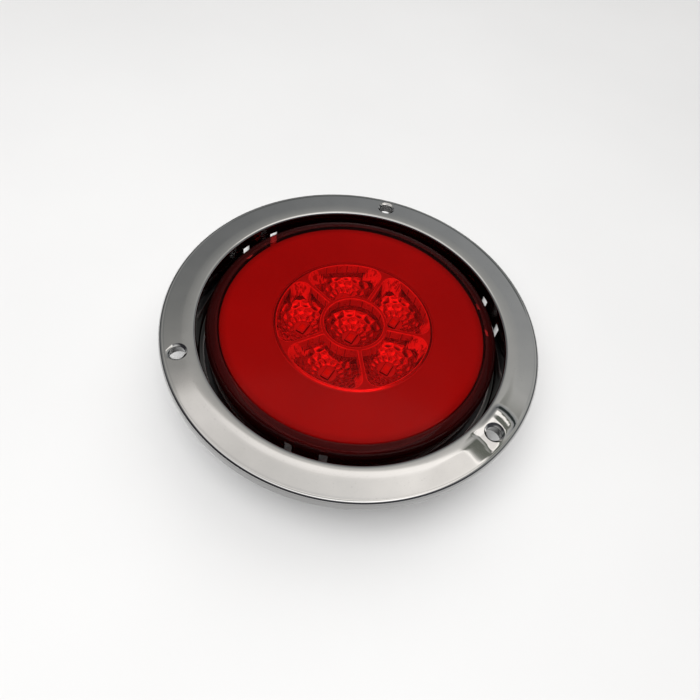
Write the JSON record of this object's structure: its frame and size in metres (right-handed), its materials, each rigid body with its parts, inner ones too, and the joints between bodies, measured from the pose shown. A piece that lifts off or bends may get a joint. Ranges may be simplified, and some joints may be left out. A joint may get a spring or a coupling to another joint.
{
  "type": "trailer tail light",
  "caption": "Round red LED stop and tail lamp with a glow ring round petal-shaped reflector cups, snapped into a chrome surface-mount flange with screw holes.",
  "frame": {"origin": "on the lamp's axis, in the plane of the housing's flat back", "axes": "+Z along the optical axis, out of the lens; +Y from the axis towards the first screw hole of the flange"},
  "size_m": [0.14, 0.14, 0.0333],
  "materials": {
    "chrome_plate": "bright plated plastic, mirror smooth",
    "red_lens": "transparent red moulding, polished",
    "opal_diffuser": "milky translucent, fine matt",
    "metallised_plastic": "vacuum-aluminised, mirror smooth",
    "black_plastic": "moulded black, fine texture",
    "seal_rubber": "matt",
    "board_mask": "white solder mask",
    "led_package": "phosphor under clear resin",
    "component_epoxy": "matt epoxy",
    "capacitor_can": "drawn can",
    "tinned_brass": "plated pins",
    "screw_steel": "zinc plated"
  },
  "bodies": {
    "lamp": {"lens": "red_lens", "lens_seal": "seal_rubber", "glow_ring_diffuser": "opal_diffuser", "reflector": "metallised_plastic", "housing": "black_plastic", "connector_socket": "black_plastic", "circuit_board": "board_mask", "driver_chip": "component_epoxy", "capacitor": "capacitor_can", "terminal_1": "tinned_brass", "board_screw_1": "screw_steel", "terminal_2": "tinned_brass", "board_screw_2": "screw_steel", "terminal_3": "tinned_brass", "board_screw_3": "screw_steel", "cup_led_1": "led_package", "cup_led_2": "led_package", "cup_led_3": "led_package", "cup_led_4": "led_package", "cup_led_5": "led_package", "cup_led_6": "led_package", "ring_led_1": "led_package", "ring_led_2": "led_package", "ring_led_3": "led_package", "ring_led_4": "led_package", "ring_led_5": "led_package", "ring_led_6": "led_package", "ring_led_7": "led_package", "ring_led_8": "led_package", "ring_led_9": "led_package", "ring_led_10": "led_package", "ring_led_11": "led_package", "ring_led_12": "led_package", "diode_1": "component_epoxy", "diode_2": "component_epoxy", "resistor_1": "component_epoxy", "resistor_2": "component_epoxy", "resistor_3": "component_epoxy", "resistor_4": "component_epoxy"},
    "flange": {"chrome_flange": "chrome_plate", "flange_sleeve": "chrome_plate"}
  },
  "joints": [
    {"name": "flange_lift_off", "type": "slide", "parent": "lamp", "child": "flange", "axis": [0, 0, 1], "range_m": [0, 0.045]}
  ]
}
